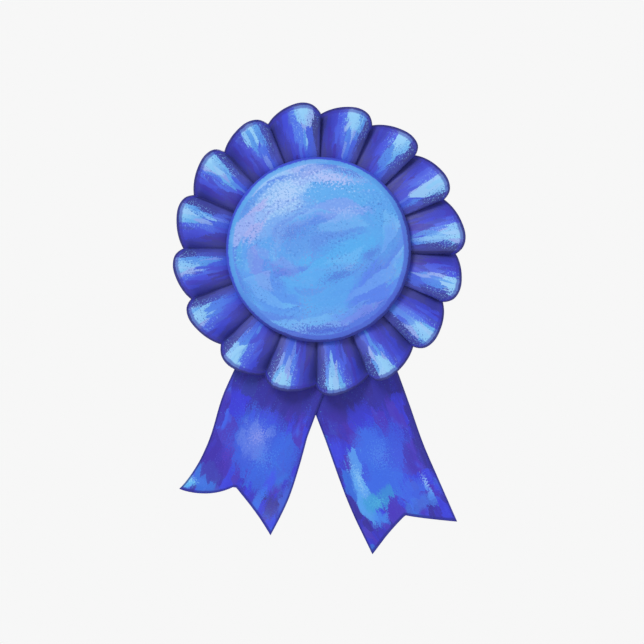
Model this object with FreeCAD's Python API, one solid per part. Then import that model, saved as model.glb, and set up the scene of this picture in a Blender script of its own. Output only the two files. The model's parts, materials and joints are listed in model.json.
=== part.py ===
"""Award rosette: a ring of sixteen knife pleats in satin ribbon, a padded round button in front, two
swallow-tailed ribbons behind, a backing card and a bar pin that fastens it to cloth.

Millimetres. +X to the wearer's left as seen from the front, +Y towards the back, +Z up. The origin is
the middle of the pin's stem, which is what holds the rosette up.
"""

import FreeCAD, Part
import math
import os

from FreeCAD import Vector

# ---------------------------------------------------------------- driving dimensions
BUTTON_R = 38.0  # a 3 inch covered button
RIBBON_WIDTH = 38.0  # 1 1/2 inch ribbon, in the ring and in both tails
RIBBON_T = 0.4
PLEATS = 16
CENTRE_Z = -14.0  # the rosette's centre is this far under the pin

# The pleated ring. Radii are measured from the rosette's centre.
RING_INNER_R = 22.0
RING_FLAT_R = 30.0  # the pleats are pressed flat as far out as this
CREST_R = 60.0
VALLEY_R = 55.5
RING_T = 0.8
FLUTE_HEIGHT = 8.4  # from valley to crest at the outer edge
CREST_AT = 0.72  # the crest's place in its pleat, which leans clockwise
STATIONS_PER_PLEAT = 12
COLLAR_OVERLAP = 0.5  # how far the flat collar runs into the fluted skirt

# The layers, from the back to the front, as Y of each one's back face.
PLATE_BACK_Y = -2.5
PLATE_T = 0.8
PIN_TAPE_T = 0.8
PIN_TAPE_LENGTH = 31.0
PIN_TAPE_WIDTH = 4.2
CARD_T = 1.2
LAYER_GAP = 0.1
TIGHT_GAP = 0.02  # under stitches and clinched staple legs
PAD_T = 4.0
BUTTON_BACK_T = 1.0

# Round parts in the layers
BACKING_CARD_R = 34.0
PLEAT_CARD_R = 32.0
PAD_R = 15.0
BACKING_TAPE_R = 30.0
BACKING_TAPE_LOW = 2.0  # its straight lower edge, above the rosette's centre and the tails' tops
STITCHES = 32
STITCH_R = 25.0
STITCH_LENGTH = 3.2
THREAD_D = 0.4

# Staples, one to a tail: the middle of each, across and along that tail
STAPLE_WIRE_D = 0.5
STAPLE_WIDTH = 10.0
STAPLE_LEG_OVERHANG = 3.0
STAPLE_HOLE_R = 0.28
STAPLE_AT = {"left": (-7.0, 18.0), "right": (7.0, 17.0)}

# The button's dome, outside the cover
RIM_HEIGHT = 1.0  # straight wall at the rim
SHOULDER_WIDTH = 3.6
SHOULDER_RISE = 3.6
DOME_RISE = 6.6
COVER_T = 0.4
WADDING_T = 1.2
SHELL_T = 0.3
TUCK_WIDTH = 5.0  # cover folded behind the rim
BUTTON_BACK_PLAY = 0.3  # round the back plate

# Tails: lean from the vertical, the centre line's offset from the rosette's centre, distances of the
# two tips and the notch along the tail
HINGE_AT = 65.6  # where the tail leaves the pleats and starts to swing
HINGE_GAP = 0.3
TAIL_TOP_AT = 8.0
TAILS = {
    "left": {"lean": -20.5, "offset": 3.7, "outer_tip": 113.5, "inner_tip": 117.0, "notch": 104.0},
    "right": {"lean": 21.0, "offset": -7.0, "outer_tip": 124.5, "inner_tip": 124.5, "notch": 114.5},
}

# Bar pin
BAR_LENGTH = 33.0
BAR_WIDTH = 5.0
BAR_HOLE_R = 0.9
BAR_HOLE_X = 4.5
BAR_CORNER_R = 2.4
HINGE_X = -13.0
RIVET_R = 0.7
RIVET_PLAY = 0.05
RIVET_HEAD_R = 1.25
RIVET_HEAD_T = 0.35
LUG_GAP = 1.7  # between the two lugs
LUG_T = 0.7
LUG_R = 1.8
LUG_ROOT = 0.2  # how far the lugs run into the plate
EYE_R = 1.5
EYE_T = 1.2
NECK_START = 1.0  # from the rivet's line, inside the eye
STEM_R = 0.5
STEM_START_X = -10.4
STEM_END_X = 9.4
TIP_X = 14.6
TIP_R = 0.1
CATCH_START_X = 11.0
CATCH_END_X = 16.2
CRADLE_LENGTH = 2.4
CRADLE_PLAY = 0.3  # along the stem, at each end of the cradle
CATCH_INNER_R = 1.2
CATCH_OUTER_R = 2.0
CRADLE_INNER_R = 2.06
CRADLE_OUTER_R = 2.75
CATCH_SLOT_DEG = 84.0
CRADLE_MOUTH_DEG = 120.0
TAB_DEG = -62.0  # from +Y, towards -Z
TAB_REACH = 4.4
TAB_T = 0.8

CUT_PAST = 1.0  # how far a cutting shape runs past the faces that it cuts

# ---------------------------------------------------------------- derived places
X_AXIS = Vector(1, 0, 0)
Y_AXIS = Vector(0, 1, 0)
CENTRE = Vector(0, 0, CENTRE_Z)
PLATE_FRONT_Y = PLATE_BACK_Y - PLATE_T
PIN_TAPE_FRONT_Y = PLATE_FRONT_Y - PIN_TAPE_T
BACKING_FRONT_Y = PIN_TAPE_FRONT_Y - CARD_T
STAPLE_Y = BACKING_FRONT_Y - LAYER_GAP - STAPLE_WIRE_D / 2
RIGHT_TAIL_BACK_Y = STAPLE_Y - STAPLE_WIRE_D / 2 - LAYER_GAP
LEFT_TAIL_BACK_Y = RIGHT_TAIL_BACK_Y - RIBBON_T - LAYER_GAP
PLEAT_CARD_BACK_Y = LEFT_TAIL_BACK_Y - RIBBON_T - LAYER_GAP
PLEAT_CARD_FRONT_Y = PLEAT_CARD_BACK_Y - CARD_T
BUTTON_BACK_Y = PLEAT_CARD_FRONT_Y - PAD_T
TAIL_BACK_Y = {"left": LEFT_TAIL_BACK_Y, "right": RIGHT_TAIL_BACK_Y}
CRADLE_START_X = CATCH_START_X + CRADLE_PLAY
CRADLE_END_X = CRADLE_START_X + CRADLE_LENGTH


def at(radius, angle, y):
    """A point at that radius and clockwise angle in radians from the top, as seen from the front."""
    return CENTRE + Vector(radius * math.sin(angle), y, radius * math.cos(angle))


def disc(radius, back_y, thickness, centre=CENTRE):
    """A flat disc that faces forwards, from its back face."""
    base = Vector(centre.x, back_y - thickness, centre.z)
    return Part.makeCylinder(radius, thickness, base, Y_AXIS)


def block(x0, x1, y0, y1, z0, z1):
    """A box between two corners."""
    return Part.makeBox(x1 - x0, y1 - y0, z1 - z0, Vector(x0, y0, z0))


def extruded(points, back_y, thickness):
    """A flat plate with corners (x, z), from its back face forwards."""
    corners = [Vector(x, back_y, z) for x, z in points]
    face = Part.Face(Part.makePolygon(corners + corners[:1]))
    return face.extrude(Vector(0, -thickness, 0))


def fused(shapes):
    """One solid out of overlapping ones."""
    return shapes[0].multiFuse(shapes[1:]).removeSplitter()


def export(name, shape):
    """Writes one node, after making sure that each of its solids is sound."""
    solids = shape.Solids
    if not solids or not shape.isValid() or any(s.Volume <= 0 for s in solids):
        raise RuntimeError(f"{name} isn't made of sound solids")
    node = solids[0] if len(solids) == 1 else Part.makeCompound(solids)
    node.exportStep(f"parts/{name}.step")
    size = shape.BoundBox
    sides = f"{size.XLength:.2f} x {size.YLength:.2f} x {size.ZLength:.2f}"
    print(f"{name:18s} {len(solids):3d} solid(s)  {shape.Volume:9.2f} mm3  {sides} mm")


# ---------------------------------------------------------------- pleated ring
def flute(share):
    """Height of a pleat's face, 0 to 1, at a share of its width: a slow rise and a steep fall."""
    if share < CREST_AT:
        return (1 - math.cos(math.pi * share / CREST_AT)) / 2
    return (1 + math.cos(math.pi * (share - CREST_AT) / (1 - CREST_AT))) / 2


def ring_edge(inner_share, y):
    """A closed curve round the ring: 0 is the pleats' free outer edge and 1 the flat inner part."""
    count = PLEATS * STATIONS_PER_PLEAT
    points = []
    for i in range(count):
        height = flute(i / STATIONS_PER_PLEAT % 1)
        outer_r = VALLEY_R + (CREST_R - VALLEY_R) * height
        radius = outer_r + (RING_FLAT_R - outer_r) * inner_share
        lift = FLUTE_HEIGHT * height * (1 - inner_share)
        points.append(at(radius, 2 * math.pi * i / count, y - lift))
    curve = Part.BSplineCurve()
    places = [i / count for i in range(count + 1)]
    curve.interpolate(Points=points, PeriodicFlag=True, Parameters=places)
    return curve.toShape()


def pleat_ring():
    """The fluted skirt with its flat inner collar, in one closed solid."""
    back_y = PLEAT_CARD_FRONT_Y
    front_y = back_y - RING_T
    outer_back = ring_edge(0, back_y)
    outer_front = ring_edge(0, front_y)
    inner_back = ring_edge(1, back_y)
    inner_front = ring_edge(1, front_y)
    faces = [
        Part.makeRuledSurface(outer_back, inner_back),
        Part.makeRuledSurface(outer_front, inner_front),
        Part.makeRuledSurface(outer_back, outer_front),
        Part.makeRuledSurface(inner_back, inner_front),
    ]
    shell = Part.makeShell([f for face in faces for f in face.Faces])
    shell.sewShape()
    skirt = Part.makeSolid(shell)
    if skirt.Volume < 0:
        skirt.reverse()
    collar = disc(RING_FLAT_R + COLLAR_OVERLAP, back_y, RING_T)
    hole = disc(RING_INNER_R, back_y + CUT_PAST, RING_T + 2 * CUT_PAST)
    return fused([skirt, collar.cut(hole)])


def pleat_stitches():
    """Running stitches that hold the pleats down on the front of the collar."""
    y = PLEAT_CARD_FRONT_Y - RING_T - THREAD_D / 2 - TIGHT_GAP
    stitches = []
    for i in range(STITCHES):
        angle = 2 * math.pi * i / STITCHES
        along = Vector(math.cos(angle), 0, -math.sin(angle))
        start = at(STITCH_R, angle, y) - along * (STITCH_LENGTH / 2)
        body = Part.makeCylinder(THREAD_D / 2, STITCH_LENGTH, start, along)
        ends = [Part.makeSphere(THREAD_D / 2, start + along * s) for s in (0, STITCH_LENGTH)]
        stitches.append(fused([body] + ends))
    return Part.makeCompound(stitches)


def backing_tape():
    """A half-round of foam tape that fills the gap between the two cards above the tails."""
    thickness = BACKING_FRONT_Y - PLEAT_CARD_BACK_Y
    tape = disc(BACKING_TAPE_R, BACKING_FRONT_Y, thickness)
    low = CENTRE_Z + BACKING_TAPE_LOW
    front_y, back_y = PLEAT_CARD_BACK_Y - CUT_PAST, BACKING_FRONT_Y + CUT_PAST
    below = block(-BUTTON_R, BUTTON_R, front_y, back_y, low - 2 * BUTTON_R, low)
    return tape.cut(below)


# ---------------------------------------------------------------- button
def dome_edges(inset, rim_y):
    """Half of the dome's section from its rim to its crown, moved inwards by inset."""
    rim_r = BUTTON_R - inset
    shoulder_r = BUTTON_R - SHOULDER_WIDTH
    crown = DOME_RISE - inset
    turn = math.radians(45)
    wall_top = (rim_r, RIM_HEIGHT)
    shoulder = (shoulder_r, RIM_HEIGHT + SHOULDER_RISE - inset)
    middle = (
        shoulder_r + (SHOULDER_WIDTH - inset) * math.cos(turn),
        RIM_HEIGHT + (SHOULDER_RISE - inset) * math.sin(turn),
    )
    sagitta = crown - shoulder[1]
    sphere_r = (shoulder_r**2 + sagitta**2) / (2 * sagitta)
    half_r = shoulder_r / 2
    half_way = (half_r, crown - sphere_r + math.sqrt(sphere_r**2 - half_r**2))
    top = (0.0, crown)

    def place(point):
        return CENTRE + Vector(point[0], rim_y - point[1], 0)

    wall = Part.LineSegment(place((rim_r, 0)), place(wall_top)).toShape()
    bend = Part.Arc(place(wall_top), place(middle), place(shoulder)).toShape()
    cap = Part.Arc(place(shoulder), place(half_way), place(top)).toShape()
    return [wall, bend, cap], place((rim_r, 0)), place(top)


def dome_body(inset):
    """The whole space under the dome at that inset, closed at the rim's plane."""
    edges, rim, top = dome_edges(inset, BUTTON_BACK_Y)
    foot = Vector(CENTRE.x, BUTTON_BACK_Y, CENTRE.z)
    axis = Part.LineSegment(top, foot).toShape()
    base = Part.LineSegment(foot, rim).toShape()
    section = Part.Face(Part.Wire(edges + [axis, base]))
    return section.revolve(CENTRE, Y_AXIS, 360)


def button_parts():
    """Cover, wadding, shell and back plate, one inside another."""
    wadding_inset = COVER_T
    shell_inset = COVER_T + WADDING_T
    space_inset = shell_inset + SHELL_T
    plate_r = BUTTON_R - space_inset - BUTTON_BACK_PLAY
    tuck = disc(BUTTON_R - COVER_T / 2, BUTTON_BACK_Y, COVER_T)
    tuck = tuck.cut(disc(BUTTON_R - TUCK_WIDTH, BUTTON_BACK_Y + CUT_PAST, COVER_T + 2 * CUT_PAST))
    inside = dome_body(wadding_inset)
    cover = fused([dome_body(0).cut(inside), tuck])
    floor = disc(BUTTON_R + CUT_PAST, BUTTON_BACK_Y + CUT_PAST, COVER_T + CUT_PAST)
    wadding = inside.cut(dome_body(shell_inset)).cut(floor)
    shell = dome_body(shell_inset).cut(dome_body(space_inset)).cut(floor)
    plate_back_y = BUTTON_BACK_Y - COVER_T
    plate = disc(plate_r, plate_back_y, BUTTON_BACK_T)
    boss = disc(BUTTON_R - TUCK_WIDTH - BUTTON_BACK_PLAY, BUTTON_BACK_Y, COVER_T)
    return {
        "button_cover": cover,
        "button_wadding": wadding,
        "button_shell": shell,
        "button_back": fused([plate, boss]),
    }


# ---------------------------------------------------------------- tails
def tail_point(side, across, along):
    """(x, z) of a point on a tail: across from its centre line, along from the rosette's centre."""
    lean = math.radians(TAILS[side]["lean"])
    across = across + TAILS[side]["offset"]
    x = CENTRE.x + across * math.cos(lean) + along * math.sin(lean)
    z = CENTRE.z + across * math.sin(lean) - along * math.cos(lean)
    return x, z


def tail_top(side):
    """The part of a tail that is stapled to the card and stays behind the pleats."""
    half = RIBBON_WIDTH / 2
    low = HINGE_AT - HINGE_GAP
    corners = [(-half, TAIL_TOP_AT), (half, TAIL_TOP_AT), (half, low), (-half, low)]
    points = [tail_point(side, *corner) for corner in corners]
    return extruded(points, TAIL_BACK_Y[side], RIBBON_T)


def tail_hanging(side):
    """The part of a tail that hangs free, with its swallow-tail end."""
    half = RIBBON_WIDTH / 2
    tail = TAILS[side]
    high = HINGE_AT + HINGE_GAP
    outward = -1 if side == "left" else 1
    corners = [
        (-outward * half, high),
        (outward * half, high),
        (outward * half, tail["outer_tip"]),
        (0, tail["notch"]),
        (-outward * half, tail["inner_tip"]),
    ]
    points = [tail_point(side, *corner) for corner in corners]
    return extruded(points, TAIL_BACK_Y[side], RIBBON_T)


def staple_ends(side):
    """Where a staple's two legs are, at y = 0."""
    across, along = STAPLE_AT[side]
    reaches = (across - STAPLE_WIDTH / 2, across + STAPLE_WIDTH / 2)
    return [Vector(x, 0, z) for x, z in (tail_point(side, reach, along) for reach in reaches)]


def staple(side):
    """A staple across a tail: its crown is behind the ribbons and its clinched legs in front of the card."""
    radius = STAPLE_WIRE_D / 2
    crown = Vector(0, STAPLE_Y, 0)
    clinch = Vector(0, PLEAT_CARD_FRONT_Y - radius - TIGHT_GAP, 0)
    ends = staple_ends(side)
    inward = (ends[1] - ends[0]).normalize()
    bars = [Part.makeCylinder(radius, STAPLE_WIDTH, ends[0] + crown, inward)]
    for end, way in zip(ends, (inward, inward * -1)):
        bars.append(Part.makeCylinder(radius, crown.y - clinch.y, end + clinch, Y_AXIS))
        bars.append(Part.makeCylinder(radius, STAPLE_LEG_OVERHANG, end + clinch, way))
        bars += [Part.makeSphere(radius, end + corner) for corner in (crown, clinch)]
    return fused(bars)


def pierced(shape):
    """The shape with the holes that the staples' legs make in it."""
    for side in STAPLE_AT:
        for end in staple_ends(side):
            front = end + Vector(0, PLEAT_CARD_FRONT_Y - CARD_T, 0)
            shape = shape.cut(Part.makeCylinder(STAPLE_HOLE_R, -front.y, front, Y_AXIS))
    return shape


# ---------------------------------------------------------------- bar pin
def along_x(radius, start_x, end_x):
    """A cylinder on the stem's line."""
    return Part.makeCylinder(radius, end_x - start_x, Vector(start_x, 0, 0), X_AXIS)


def along_z(radius, low, high, x):
    """A cylinder on the rivet's line."""
    return Part.makeCylinder(radius, high - low, Vector(x, 0, low))


def wedge(start_x, end_x, width_deg, reach=8.0):
    """A sector that many degrees wide about the stem's line, centred on +Y."""
    half = math.radians(width_deg / 2)
    rim = [Vector(start_x, reach * math.cos(a), reach * math.sin(a)) for a in (-half, 0, half)]
    hub = Vector(start_x, 0, 0)
    face = Part.Face(Part.makePolygon([hub] + rim + [hub]))
    return face.extrude(Vector(end_x - start_x, 0, 0))


def pin_bar():
    """The base plate with two lugs for the rivet and the cradle that the catch turns in."""
    half = BAR_LENGTH / 2
    plate = block(-half, half, PLATE_FRONT_Y, PLATE_BACK_Y, -BAR_WIDTH / 2, BAR_WIDTH / 2)
    corners = [e for e in plate.Edges if abs(e.Vertexes[0].Y - e.Vertexes[1].Y) > PLATE_T / 2]
    plate = plate.makeFillet(BAR_CORNER_R, corners)
    for x in (-BAR_HOLE_X, BAR_HOLE_X):
        front = Vector(x, PLATE_FRONT_Y - CUT_PAST, 0)
        plate = plate.cut(Part.makeCylinder(BAR_HOLE_R, PLATE_T + 2 * CUT_PAST, front, Y_AXIS))
    bodies = [plate]
    for side in (-1, 1):
        inner, outer = sorted((side * LUG_GAP / 2, side * (LUG_GAP / 2 + LUG_T)))
        ear = block(HINGE_X - LUG_R, HINGE_X + LUG_R, PLATE_BACK_Y - LUG_ROOT, 0, inner, outer)
        bodies.append(fused([ear, along_z(LUG_R, inner, outer, HINGE_X)]))
    bodies.append(along_x(CRADLE_OUTER_R, CRADLE_START_X, CRADLE_END_X))
    bar = fused(bodies)
    bore = along_x(CRADLE_INNER_R, CRADLE_START_X - CUT_PAST, CATCH_END_X + CUT_PAST)
    mouth = wedge(CRADLE_START_X - CUT_PAST, CRADLE_END_X + CUT_PAST, CRADLE_MOUTH_DEG)
    rivet_hole = along_z(RIVET_R, -BAR_WIDTH, BAR_WIDTH, HINGE_X)
    return bar.cut(bore).cut(mouth).cut(rivet_hole)


def pin_rivet():
    """The rivet, tight in the lugs, with a head outside each."""
    reach = LUG_GAP / 2 + LUG_T
    shaft = along_z(RIVET_R, -reach - RIVET_HEAD_T, reach + RIVET_HEAD_T, HINGE_X)
    heads = [
        along_z(RIVET_HEAD_R, reach, reach + RIVET_HEAD_T, HINGE_X),
        along_z(RIVET_HEAD_R, -reach - RIVET_HEAD_T, -reach, HINGE_X),
    ]
    return fused([shaft] + heads)


def pin_stem():
    """The sharp stem with the eye that turns on the rivet."""
    eye = along_z(EYE_R, -EYE_T / 2, EYE_T / 2, HINGE_X)
    neck_x = HINGE_X + NECK_START
    neck = Part.makeCone(EYE_T / 2, STEM_R, STEM_START_X - neck_x, Vector(neck_x, 0, 0), X_AXIS)
    shaft = along_x(STEM_R, STEM_START_X, STEM_END_X)
    point = Part.makeCone(STEM_R, TIP_R, TIP_X - STEM_END_X, Vector(STEM_END_X, 0, 0), X_AXIS)
    bore = along_z(RIVET_R + RIVET_PLAY, -EYE_T, EYE_T, HINGE_X)
    return fused([eye, neck, shaft, point]).cut(bore)


def pin_catch():
    """The slotted barrel that turns in the cradle and locks the stem, with its thumb tab."""
    barrel = along_x(CATCH_OUTER_R, CATCH_START_X, CATCH_END_X)
    tab = block(CRADLE_END_X + CRADLE_PLAY, CATCH_END_X, 0, TAB_REACH, -TAB_T / 2, TAB_T / 2)
    tab.rotate(Vector(0, 0, 0), X_AXIS, TAB_DEG)
    bore = along_x(CATCH_INNER_R, CATCH_START_X - CUT_PAST, CATCH_END_X + CUT_PAST)
    slot = wedge(CATCH_START_X - CUT_PAST, CATCH_END_X + CUT_PAST, CATCH_SLOT_DEG)
    return fused([barrel, tab]).cut(bore).cut(slot)


# ---------------------------------------------------------------- the whole rosette
def build():
    """Every node by name."""
    tape_x, tape_z = PIN_TAPE_LENGTH / 2, PIN_TAPE_WIDTH / 2
    nodes = {
        "pleat_ring": pleat_ring(),
        "pleat_stitches": pleat_stitches(),
        "pleat_card": pierced(disc(PLEAT_CARD_R, PLEAT_CARD_BACK_Y, CARD_T)),
        "backing_card": disc(BACKING_CARD_R, PIN_TAPE_FRONT_Y, CARD_T),
        "backing_tape": backing_tape(),
        "button_pad": disc(PAD_R, PLEAT_CARD_FRONT_Y, PAD_T),
        "pin_tape": block(-tape_x, tape_x, PIN_TAPE_FRONT_Y, PLATE_FRONT_Y, -tape_z, tape_z),
        "pin_bar": pin_bar(),
        "pin_rivet": pin_rivet(),
        "pin_stem": pin_stem(),
        "pin_catch": pin_catch(),
        "tail_staples": Part.makeCompound([staple(side) for side in STAPLE_AT]),
    }
    nodes.update(button_parts())
    for side in TAILS:
        nodes[f"{side}_tail_top"] = pierced(tail_top(side))
        nodes[f"{side}_tail"] = tail_hanging(side)
    return nodes


if __name__ == "__main__":
    os.makedirs("parts", exist_ok=True)
    for node_name, node_shape in sorted(build().items()):
        export(node_name, node_shape)
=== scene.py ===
"""The award rosette's looks: pleated satin ring, padded button, two swallow-tailed ribbons, and the
materials of the cards and the bar pin. Metres, in the CAD model's frame: +X right, +Y back, +Z up.
"""

import json
import math
import random

import bpy
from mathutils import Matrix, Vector, noise


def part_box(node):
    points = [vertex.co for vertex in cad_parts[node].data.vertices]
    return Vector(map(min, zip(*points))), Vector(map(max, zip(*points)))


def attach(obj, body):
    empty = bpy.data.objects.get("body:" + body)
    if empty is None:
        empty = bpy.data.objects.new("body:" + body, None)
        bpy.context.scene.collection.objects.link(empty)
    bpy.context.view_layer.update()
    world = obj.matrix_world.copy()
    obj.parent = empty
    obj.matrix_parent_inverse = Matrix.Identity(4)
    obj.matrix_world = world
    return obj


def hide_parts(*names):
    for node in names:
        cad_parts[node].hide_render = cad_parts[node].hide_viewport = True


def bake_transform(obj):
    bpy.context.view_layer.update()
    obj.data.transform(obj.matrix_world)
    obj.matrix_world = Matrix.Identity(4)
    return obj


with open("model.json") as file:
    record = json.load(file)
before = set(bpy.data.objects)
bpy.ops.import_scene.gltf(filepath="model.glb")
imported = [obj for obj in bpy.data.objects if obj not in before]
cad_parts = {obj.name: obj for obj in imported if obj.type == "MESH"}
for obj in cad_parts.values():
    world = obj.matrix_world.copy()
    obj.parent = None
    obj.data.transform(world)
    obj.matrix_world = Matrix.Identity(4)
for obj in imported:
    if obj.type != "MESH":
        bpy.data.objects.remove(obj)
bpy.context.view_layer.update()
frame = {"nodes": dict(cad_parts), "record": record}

MM = 0.001
SEED = 16

# ---------------- places, from the frame
BUTTON_LOW, BUTTON_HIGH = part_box("button_cover")
RING_LOW, RING_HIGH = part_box("pleat_ring")
WADDING_LOW, WADDING_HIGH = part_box("button_wadding")
CENTRE = Vector(((BUTTON_LOW[0] + BUTTON_HIGH[0]) / 2, 0, (BUTTON_LOW[2] + BUTTON_HIGH[2]) / 2))
BUTTON_R = (BUTTON_HIGH[0] - BUTTON_LOW[0]) / 2
BUTTON_BACK_Y = BUTTON_HIGH[1]
BUTTON_CROWN = BUTTON_HIGH[1] - BUTTON_LOW[1]
RING_BACK_Y = RING_HIGH[1]
RING_DEPTH = RING_HIGH[1] - RING_LOW[1]
RING_R = (RING_HIGH[0] - RING_LOW[0]) / 2
JOINTS = {j["name"]: j for j in frame["record"]["behaviour"]["joints"]}

# ---------------- the rosette's own sizes
PLEATS = 16
FIRST_CREVICE = math.radians(0.3)
PITCH = 2 * math.pi / PLEATS
RIBBON_WIDTH = 38 * MM
RIBBON_T = 0.3 * MM
RING_INNER_R = 22 * MM
RING_RIBBON_LENGTH = 0.486
PLEAT_STATIONS = 30
PLEAT_ROWS = 34
WELD_WITHIN = 0.01 * MM

# A pleat's section at its outer edge. It starts in the crevice under the fold before it, rises to its
# crest, rolls over its own fold and turns back under: place in the pleat, height and outer radius in mm.
PLEAT_SECTION = [
    (0.00, 0.00, 55.6),
    (0.18, 0.28, 57.6),
    (0.42, 0.76, 59.2),
    (0.70, 1.00, 60.1),
    (0.91, 0.84, 58.9),
    (1.03, 0.46, 55.6),
    (0.97, 0.12, 54.8),
]
FOLD_STEP = 5  # where in the section the fold is
FOLD_OVERHANG = 0.03  # how far the fold reaches over the next pleat, in pleats
INNER_TUCK = 0.85  # how much further a pleat reaches under the last one at its inner edge, in pleats
INNER_LIFT = 0.12  # how high the folds stand at the inner edge, in shares of their height
EDGE_ROLL = 0.09  # how far the free edge rolls back, in the same shares
RIPPLE = 0.5 * MM

# The button's dome and cover
RIM_HEIGHT = 1.0 * MM  # straight wall at the rim
SHOULDER = 3.6 * MM  # width and rise of the rounded shoulder
COVER_HALF_T = 0.2 * MM
EDGE_ROUND = 0.25 * MM  # where the cover turns in behind the rim
COVER_TUCK = 5.0 * MM  # folded behind the rim
COVER_PULL = 0.22 * MM  # the cover's faint unevenness at the rim
COVER_SPOKES = 192
CROWN_SHARE = 0.905  # of the rim's radius, where the crown's even rings end
CROWN_RINGS = 40
SHOULDER_RINGS = 12
TUCK_RINGS = 6

# The wadding under the cover
WADDING_SPOKES = 96
WADDING_RINGS = 24
WADDING_T = 1.0 * MM
WADDING_RIM = 0.6 * MM
WADDING_SHOULDER = 3.2 * MM
LUMP_HEIGHT = 0.06 * MM
LUMPS_PER_METRE = 500

# The tails
TAIL_TOP = 8.0  # mm from the rosette's centre
TAIL_COLUMNS = 30
TAIL_ROWS = 96
TAIL_BEND = 7 * MM  # to each side of the line a tail swings about
SWAY, CUP, CURL, CREASE = 1.3, 1.1, 1.5, 1.4  # mm

# The studio
FLOOR_Z = -0.62
FLOOR_R = 1.6
LENS = 135
SENSOR_WIDTH = 36
VIEW_WIDTH = 0.2639  # seen at the rosette
CAMERA_ASIDE = 0.0014  # from the rosette's centre
CAMERA_BELOW = 0.0297
FOCUS_AHEAD = 0.006  # of the ring's back
AMBIENT = 0.5  # the background's light on the rosette
BACKDROP = 0.93  # the background as the camera sees it

# ---------------- small helpers
def at(radius, angle, y):
    """A point at that radius and clockwise angle from the top, as seen from the front."""
    return CENTRE + Vector((radius * math.sin(angle), y, radius * math.cos(angle)))


def smooth(low, high, value):
    """0 below low, 1 above high, and a smooth rise between."""
    share = min(1.0, max(0.0, (value - low) / (high - low)))
    return share * share * (3 - 2 * share)


def mix(a, b, share):
    return a + (b - a) * share


def colour(code):
    """Scene-linear RGBA of an sRGB hex colour."""
    channels = [int(code[i : i + 2], 16) / 255 for i in (1, 3, 5)]
    return [c / 12.92 if c <= 0.04045 else ((c + 0.055) / 1.055) ** 2.4 for c in channels] + [1.0]


def curve(points, place):
    """Height at that place of the smooth curve through the (place, height) points, level past its ends."""
    if place <= points[0][0] or place >= points[-1][0]:
        return points[0][1] if place <= points[0][0] else points[-1][1]
    index = max(i for i, point in enumerate(points) if point[0] <= place)
    (x0, y0), (x1, y1) = points[index : index + 2]

    def slope(i):
        before, after = points[max(i - 1, 0)], points[min(i + 1, len(points) - 1)]
        return (after[1] - before[1]) / (after[0] - before[0]) * (x1 - x0)

    t = (place - x0) / (x1 - x0)
    level = mix(y0, y1, t * t * (3 - 2 * t))
    return level + (t**3 - 2 * t**2 + t) * slope(index) + (t**3 - t**2) * slope(index + 1)


def mesh_object(name, verts, faces, uvs=None):
    """A smooth mesh object with UV layers, each a list of one (u, v) per vertex."""
    mesh = bpy.data.meshes.new(name)
    mesh.from_pydata(verts, [], faces)
    for layer_name, places in (uvs or {}).items():
        layer = mesh.uv_layers.new(name=layer_name)
        for loop in mesh.loops:
            layer.data[loop.index].uv = places[loop.vertex_index]
    for polygon in mesh.polygons:
        polygon.use_smooth = True
    mesh.validate()
    mesh.update()
    obj = bpy.data.objects.new(name, mesh)
    bpy.context.scene.collection.objects.link(obj)
    return obj


def grid_faces(rows, columns):
    """Quads of a grid whose vertices are stored row by row."""
    faces = []
    for i in range(rows - 1):
        for j in range(columns - 1):
            this, after = i * columns + j, (i + 1) * columns + j
            faces.append((this, this + 1, after + 1, after))
    return faces


def ring_faces(first, rings, spokes):
    """Quads between rings of vertices, stored ring after ring from that first vertex on."""
    faces = []
    for inner in range(first, first + (rings - 1) * spokes, spokes):
        outer = inner + spokes
        for i in range(spokes):
            k = (i + 1) % spokes
            faces.append((inner + i, inner + k, outer + k, outer + i))
    return faces


def apply_modifiers(obj):
    """Makes what the modifiers give the object's own mesh."""
    depsgraph = bpy.context.evaluated_depsgraph_get()
    mesh = bpy.data.meshes.new_from_object(obj.evaluated_get(depsgraph), depsgraph=depsgraph)
    obj.modifiers.clear()
    obj.data = mesh
    return obj


def thickened(obj, thickness, reverse=False):
    """Gives a sheet its thickness, half to each side. With reverse, its second material is on the back."""
    solid = obj.modifiers.new("thickness", "SOLIDIFY")
    solid.thickness = thickness
    solid.offset = 0.0
    solid.use_even_offset = False
    if reverse:
        solid.material_offset = 1
    return apply_modifiers(obj)


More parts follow.
